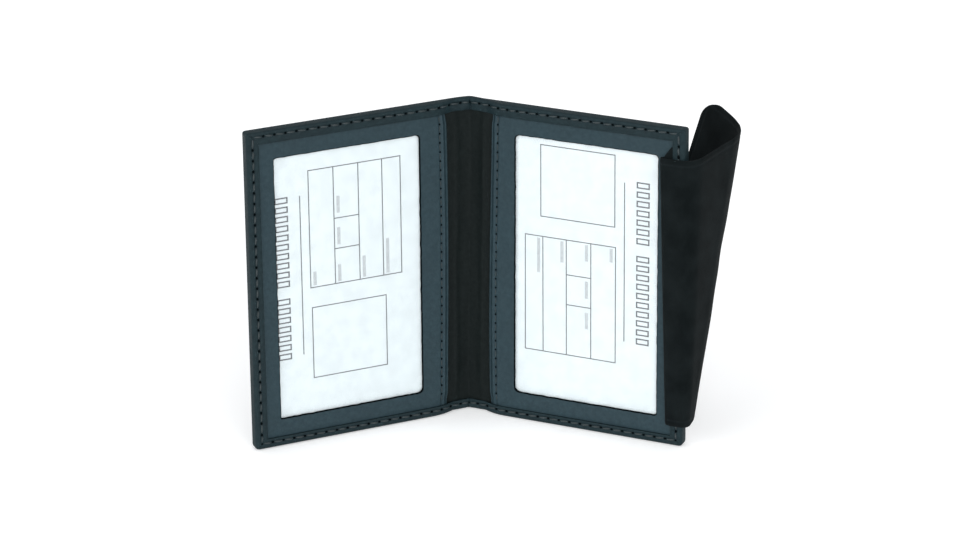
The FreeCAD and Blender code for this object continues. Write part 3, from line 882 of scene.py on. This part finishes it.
LEAF_THICK = 0.8
LEAF_MID = LEAF_THICK / 2
LEAF_ROWS = 150
LEAF_FOOT, LEAF_HEAD, LEAF_RISE = 7.3, 98.1, 3.0
LEAF_LENGTH = 60.8
LEAF_CORNER = 8.0
TONGUE_HEAD = 102.2
FOLD_AT_FOOT, FOLD_AT_HEAD, FOLD_BULGE = 3.0, 0.5, 1.05
BASE_MIDDLE = 4.4
HINGE_FOOT = 5.6
BENDS = {
    # fold line's foot and head, out from the swing axis; turn; half widths at foot and head
    "edge": (8.6, 10.2, 72.0, 2.1, 4.9),
    "curl": (12.6, 33.4, 37.5, 1.8, 2.2),
    "back": (19.2, 40.0, 37.5, 3.2, 3.3),
}


def leaf_top(s):
    first = BENDS["edge"][1]
    return LEAF_HEAD + LEAF_RISE * np.clip((s - first) / (LEAF_LENGTH - first), 0.0, 1.0)


def bend_line(name):
    """Foot, head and unit vectors along and across one fold line, in the flat leaf."""
    foot, head, turn, _, _ = BENDS[name]
    low, high = np.array([foot, HINGE_FOOT]), np.array([head, leaf_top(head)])
    along = (high - low) / np.linalg.norm(high - low)
    across = np.array([along[1], -along[0]])
    return low, along, across, math.radians(turn)


def half_width(name, z):
    """Half of the width over which the leaf bends round, wider towards the head."""
    _, _, _, foot, head = BENDS[name]
    return foot + (head - foot) * np.clip((z - HINGE_FOOT) / (LEAF_HEAD - HINGE_FOOT), 0.0, 1.0)


def turn_about(points, foot, axis, angle):
    """Rotate rows of (s, z, m) about an axis through foot; m is height above the leaf's underside."""
    foot, axis = np.asarray(foot, float), np.asarray(axis, float)
    p = points - foot
    c, s = math.cos(angle), math.sin(angle)
    return foot + p * c + np.cross(axis, p) * s + np.outer(p @ axis, axis) * (1 - c)


def folded_leaf(s, z, m):
    """Folded places of flat leaf points, m above the underside, with round bends."""
    points = np.stack([s, z, m], -1).astype(float)
    for name in ("back", "curl", "edge"):
        low, along, across, turn = bend_line(name)
        half = half_width(name, z)
        distance = (np.stack([s, z], -1) - low) @ across
        axis, side = np.array([*along, 0.0]), np.array([*across, 0.0])
        beyond = distance >= half
        if beyond.any():
            points[beyond] = turn_about(points[beyond], np.array([*low, 0.0]), axis, turn)
        inside = np.abs(distance) < half
        if inside.any():
            reach, away = half[inside], distance[inside]
            phi = turn * (away + reach) / (2 * reach)
            radius = reach / math.tan(turn / 2) + LEAF_MID
            lift = points[inside][:, 2] - LEAF_MID
            base = points[inside] - np.outer(away, side)
            base[:, 2] = 0.0
            x = (radius + lift) * np.sin(phi) - reach
            y = LEAF_MID - radius + (radius + lift) * np.cos(phi)
            points[inside] = base + np.outer(x, side) + np.outer(y, [0, 0, 1])
    return points


def leaf_edge_line(name, z):
    """Distance out from the swing axis of a fold line at height z."""
    foot, head, _, _, _ = BENDS[name]
    return foot + (head - foot) * (z - HINGE_FOOT) / (leaf_top(head) - HINGE_FOOT)


def leaf_soften(s, z):
    """Gentle unevenness of the loose leaf, none where it is sewn, and a wall that sags inwards."""
    loose = smooth((s - 12.0) / 20.0)
    uneven = loose * (0.55 * ripple(s, z, 26.0, 71.0) + 0.25 * ripple(s, z, 11.0, 77.0))
    near, far = leaf_edge_line("edge", z), leaf_edge_line("curl", z)
    sag = smooth((s - near) / (far - near)) * (1 - smooth((s - far) / 14.0))
    belly = np.sin(math.pi * np.clip((s - far) / (LEAF_LENGTH - far), 0.0, 1.0)) * z / TALL
    return uneven - (1.0 + 0.5 * z / TALL) * sag + 1.3 * belly


def leaf_place(s, z, m):
    folded = folded_leaf(s, z, m)
    return place("right", SWING_U + folded[:, 0], folded[:, 1], SWING_N + folded[:, 2])


def leaf_grid(start, end, columns):
    """Flat (s, z) points between two lines s = start(z) and s = end(z), with rounded free corners."""
    grid_s, grid_z = np.meshgrid(np.linspace(0, 1, columns), np.linspace(0, 1, LEAF_ROWS))
    z = LEAF_FOOT + (LEAF_HEAD - LEAF_FOOT) * grid_z
    for _ in range(3):
        s = start(z) + (end(z) - start(z)) * grid_s
        z = LEAF_FOOT + (leaf_top(s) - LEAF_FOOT) * grid_z
    r = LEAF_CORNER
    a = s - (LEAF_LENGTH - r)
    top = leaf_top(s)
    low = z < (LEAF_FOOT + top) / 2
    b = np.where(low, LEAF_FOOT + r - z, z - (top - r))
    corner = (a > 0) & (b > 0)
    shrink = np.where(corner, np.maximum(a, b) / np.maximum(np.hypot(a, b), 1e-9), 1.0)
    s = np.where(corner, LEAF_LENGTH - r + a * shrink, s)
    z = np.where(corner, np.where(low, LEAF_FOOT + r - b * shrink, top - r + b * shrink), z)
    return s, z


def leaf_edge_softening(s, z):
    """0 at the free edges to 1 inside, for the thinned and pressed border."""
    inside = np.minimum.reduce([z - LEAF_FOOT, leaf_top(s) - z, LEAF_LENGTH - s])
    return np.sqrt(np.clip(inside / 0.5, 0.0, 1.0)), inside


def leaf_piece(name, s, z, replaced):
    """Closed sheet between the leaf's two faces over a grid of flat points."""
    full, inside = leaf_edge_softening(s.ravel(), z.ravel())
    soft = leaf_soften(s.ravel(), z.ravel())
    border = -0.09 * np.exp(-((inside - PRESSED_LINE) / 0.3) ** 2)
    half = LEAF_MID * (0.45 + 0.55 * full)
    top = leaf_place(s.ravel(), z.ravel(), LEAF_MID + half + border + soft)
    under = leaf_place(s.ravel(), z.ravel(), LEAF_MID - half - border + soft)
    faces = closed_sheet_faces(*s.shape)
    flat = np.stack([inside, s.ravel()], -1)
    piece = make_piece(name, np.concatenate([top, under]), faces, [SUEDE], uv=np.concatenate([flat, flat]))
    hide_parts(*replaced)
    return piece


def bend_blend(piece, name):
    """Bake a leaf part's placement into its mesh; the points either side of the bend are worked out but not
    used.
    """
    low, _, across, _ = bend_line(name)
    reach = half_width(name, np.array([LEAF_HEAD / 2]))[0]
    start, end = (leaf_place(*point[:, None], np.array([LEAF_MID]))[0]
                  for point in (low - across * reach, low + across * reach))
    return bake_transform(piece)


def make_leaf():
    """The loose leaf in four parts, each across one bend, meeting in the stiff stretches."""

    def along_base(z):
        return np.full_like(z, BASE_MIDDLE)

    def along_wall(z):
        return (leaf_edge_line("edge", z) + leaf_edge_line("curl", z)) / 2

    def along_curl(z):
        return (leaf_edge_line("curl", z) + leaf_edge_line("back", z)) / 2

    def along_end(z):
        return np.full_like(z, LEAF_LENGTH)

    parts = (
        ("leaf_over_edge", along_base, along_wall, 30, "edge", "leaf_base", "leaf_wall"),
        ("leaf_turning", along_wall, along_curl, 34, "curl", "leaf_wall", "leaf_curl"),
        ("leaf_behind", along_curl, along_end, 60, "back", "leaf_curl", "leaf_back"),
    )
    for name, start, end, columns, bend, body_a, body_b in parts:
        s, z = leaf_grid(start, end, columns)
        bend_blend(leaf_piece(name, s, z, [body_b]), bend)
    make_leaf_fold()


def make_leaf_fold():
    """The sewn end: from under the hem, over in a tight roll, to the base of the leaf."""
    tongue_steps, roll_steps, base_steps = 8, 12, 6
    root_n, base_n = FRAME_FRONT + 0.32, SWING_N + LEAF_MID
    share = np.linspace(0, 1, LEAF_ROWS)[:, None]
    tongue = WIDE - 1.8
    roll = SWING_U + FOLD_AT_FOOT + (FOLD_AT_HEAD - FOLD_AT_FOOT) * share
    run = np.linspace(0, 1, tongue_steps)[None, :]
    turn = np.linspace(0, math.pi, roll_steps)[None, 1:]
    lead = np.linspace(0, 1, base_steps)[None, 1:]
    end = SWING_U + BASE_MIDDLE
    rolled_u = roll - FOLD_BULGE * np.sin(turn)
    u = np.hstack([tongue + (roll - tongue) * run, rolled_u, roll + (end - roll) * lead])
    rolled_n = root_n + (base_n - root_n) / 2 * (1 - np.cos(turn))
    n = np.broadcast_to(np.hstack([root_n + 0 * run, rolled_n, base_n + 0 * lead]), u.shape)
    count = u.shape[1]
    step = np.stack([np.gradient(u, axis=1), np.gradient(n, axis=1)], -1)
    step /= np.linalg.norm(step, axis=2)[..., None]
    order = np.arange(count)[None, :]
    rooted = np.clip((u - SWING_U) / 3.0, 0.0, 1.0) * (order < tongue_steps)
    head = LEAF_HEAD + (TONGUE_HEAD - LEAF_HEAD) * rooted
    z = LEAF_FOOT + (head - LEAF_FOOT) * share
    thin = np.where(order < tongue_steps / 2, 0.22, 0.30)
    thick = thin + (LEAF_MID - 0.30) * smooth((order - tongue_steps + 2) / 8.0)
    full = np.sqrt(np.clip(np.minimum(z - LEAF_FOOT, head - z) / 0.5, 0.0, 1.0))
    half = thick * (0.45 + 0.55 * full)
    off_u, off_n = half * step[..., 1], half * step[..., 0]
    front, back = place("right", u + off_u, z, n - off_n), place("right", u - off_u, z, n + off_n)
    inside = np.where(order < tongue_steps, LEAF_LENGTH, np.minimum(z - LEAF_FOOT, head - z))
    flat = np.stack([inside.ravel(), u.ravel()], -1)
    faces = closed_sheet_faces(LEAF_ROWS, count)
    uv = np.concatenate([flat, flat])
    piece = make_piece("leaf_sewn_end", np.concatenate([front, back]), faces, [SUEDE], uv=uv)
    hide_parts("leaf_root", "leaf_base")
    start = place("right", SWING_U, 0, FRAME_FRONT + 0.7)[0]
    end = place("right", SWING_U, 0, SWING_N)[0]
    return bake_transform(piece)


# ---------------------------------------------------------------- stage, light and camera


def sun(name, toward, strength, spread):
    """A soft distant light that shines from the given direction; spread is in degrees."""
    data = bpy.data.lights.new(name, "SUN")
    data.energy = strength
    data.angle = math.radians(spread)
    light = bpy.data.objects.new(name, data)
    light.rotation_mode = "QUATERNION"
    light.rotation_quaternion = Vector(toward).to_track_quat("Z", "Y")
    bpy.context.scene.collection.objects.link(light)


def make_stage():
    """A pale, faintly glowing floor, a pale surround and two soft lights."""
    corners = [(-6.0, -6.0, 0.0), (6.0, -6.0, 0.0), (6.0, 6.0, 0.0), (-6.0, 6.0, 0.0)]
    mesh = bpy.data.meshes.new("floor")
    mesh.from_pydata(corners, [], [(0, 1, 2, 3)])
    m = Nodes("pale_floor")
    m.colour(m.mix(m.ramp(m.noise(0.01), 0.3, 0.7), (0.86, 0.86, 0.86), (0.88, 0.88, 0.88)))
    m.fix(Roughness=0.9, Specular_IOR_Level=0.1, Emission_Strength=0.28)
    m.shader.inputs["Emission Color"].default_value = (1.0, 1.0, 1.0, 1.0)
    mesh.materials.append(m.material)
    floor = bpy.data.objects.new("floor", mesh)
    floor.location.z = -0.2 * MM
    bpy.context.scene.collection.objects.link(floor)
    world = bpy.data.worlds.new("studio")
    world.use_nodes = True
    background = world.node_tree.nodes["Background"]
    background.inputs["Color"].default_value = (0.96, 0.98, 1.0, 1.0)
    background.inputs["Strength"].default_value = 0.76
    bpy.context.scene.world = world
    sun("front_light", (15, -60, 28), 1.5, 50)
    sun("side_light", (-60, -45, 25), 0.9, 40)
    bpy.context.scene.view_settings.view_transform = "Standard"


def make_camera():
    """A long lens a little above the case, looking straight back with a slight roll."""
    distance, target = 1.296, Vector((0.0069, 0.0, TALL * MM / 2 - 0.0078))
    pitch, roll = math.radians(22.2), math.radians(0.51)
    data = bpy.data.cameras.new("camera")
    data.sensor_width = 36.0
    data.lens = 147.2
    camera = bpy.data.objects.new("camera", data)
    right, up = Vector((1, 0, 0)), Vector((0, math.sin(pitch), math.cos(pitch)))
    forward = Vector((0, math.cos(pitch), -math.sin(pitch)))
    across = math.cos(roll) * right - math.sin(roll) * up
    above = math.sin(roll) * right + math.cos(roll) * up
    turn = Matrix((across, above, -forward)).transposed()
    camera.matrix_world = Matrix.Translation(target - forward * distance) @ turn.to_4x4()
    bpy.context.scene.collection.objects.link(camera)
    bpy.context.scene.camera = camera


# ---------------------------------------------------------------- whole case

for panel in SIDES:
    make_outer_leather(panel)
    make_lining(panel)
    make_frame(panel)
    make_hem_thread(panel)
    make_pocket_thread(panel)
    make_card(panel)
    make_print(panel)
    for node, material in (("window_pane_", PANE), ("stiffener_", BOARD)):
        slots = frame["nodes"][node + panel].data.materials
        slots.clear()
        slots.append(material)
make_leaf()
make_stage()
make_camera()
